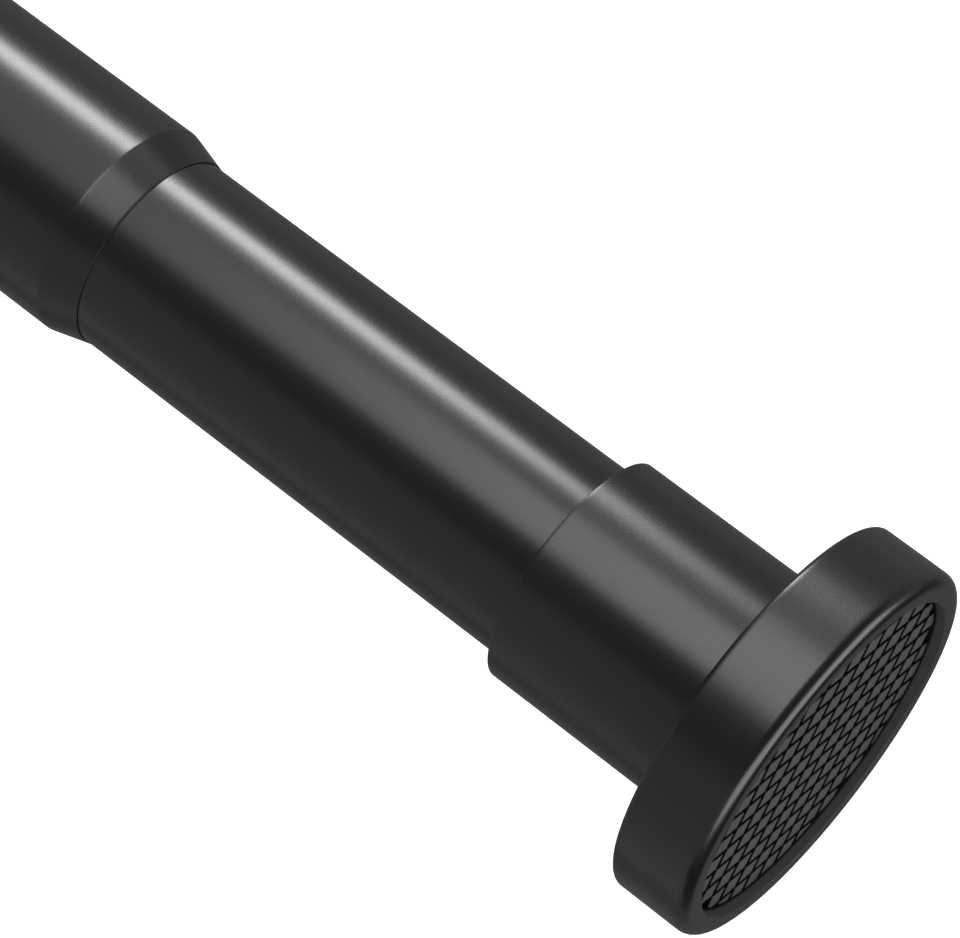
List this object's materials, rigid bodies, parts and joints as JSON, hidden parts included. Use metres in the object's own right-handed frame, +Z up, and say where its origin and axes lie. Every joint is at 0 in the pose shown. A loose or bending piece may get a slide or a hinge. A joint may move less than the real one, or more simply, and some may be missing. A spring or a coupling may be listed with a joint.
{
  "type": "spring tension rod",
  "caption": "Straight telescoping tension rod: a slim tube slides and turns in a wider one, sprung inside, with padded round end caps.",
  "frame": {"origin": "centre of the fixed end cap's wall face, on the rod's axis", "axes": "+X along the rod from the fixed wall face to the moving one, +Z up as the rod hangs between walls"},
  "size_m": [0.5, 0.0482, 0.0482],
  "materials": {
    "tube_finish": "satin black coat",
    "cap_finish": "satin black, matched to the tubes",
    "pad_rubber": "matt, tiled relief",
    "hardware_steel": "zinc plated",
    "spring_steel": "oiled spring steel",
    "plug_plastic": "moulded",
    "bush_nylon": "natural nylon"
  },
  "bodies": {
    "outer": {"outer_tube": "tube_finish", "fixed_end_cap": "cap_finish", "fixed_grip_pad": "pad_rubber", "fixed_cap_screw": "hardware_steel", "anchor_plug": "plug_plastic", "anchor_pin": "hardware_steel", "guide_rod": "hardware_steel", "guide_rod_washer": "hardware_steel", "guide_rod_nut": "hardware_steel", "compression_spring": "spring_steel"},
    "spindle": {"plunger": "plug_plastic", "spindle_collar": "hardware_steel", "spindle_pin": "hardware_steel", "threaded_spindle": "hardware_steel", "stop_washer": "hardware_steel", "stop_nut": "hardware_steel"},
    "bush": {"guide_bush": "bush_nylon"},
    "inner": {"inner_tube": "tube_finish", "nut_plug": "plug_plastic", "spindle_nut": "hardware_steel", "left_plug_rivet": "hardware_steel", "right_plug_rivet": "hardware_steel", "bush_clip": "spring_steel", "moving_tube_plug": "plug_plastic", "moving_end_cap": "cap_finish", "moving_cap_screw": "hardware_steel", "moving_grip_pad": "pad_rubber"}
  },
  "joints": [
    {"name": "spring_travel", "type": "slide", "parent": "outer", "child": "spindle", "axis": [1, 0, 0], "range_m": [-0.02, 0], "stiffness_N_per_m": 4950, "springref_m": 0.003, "deforming": ["compression_spring"]},
    {"name": "telescope", "type": "slide", "parent": "spindle", "child": "bush", "axis": [1, 0, 0], "range_m": [-0.04202, 0.13802]},
    {"name": "twist", "type": "hinge", "parent": "bush", "child": "inner", "pos_m": [0.17365, 0, 0], "axis": [1, 0, 0], "range_deg": [-2520, 8280]}
  ],
  "couplings": [
    {"joint": "telescope", "follows": "twist", "m_per_rad": 0.00095493}
  ]
}
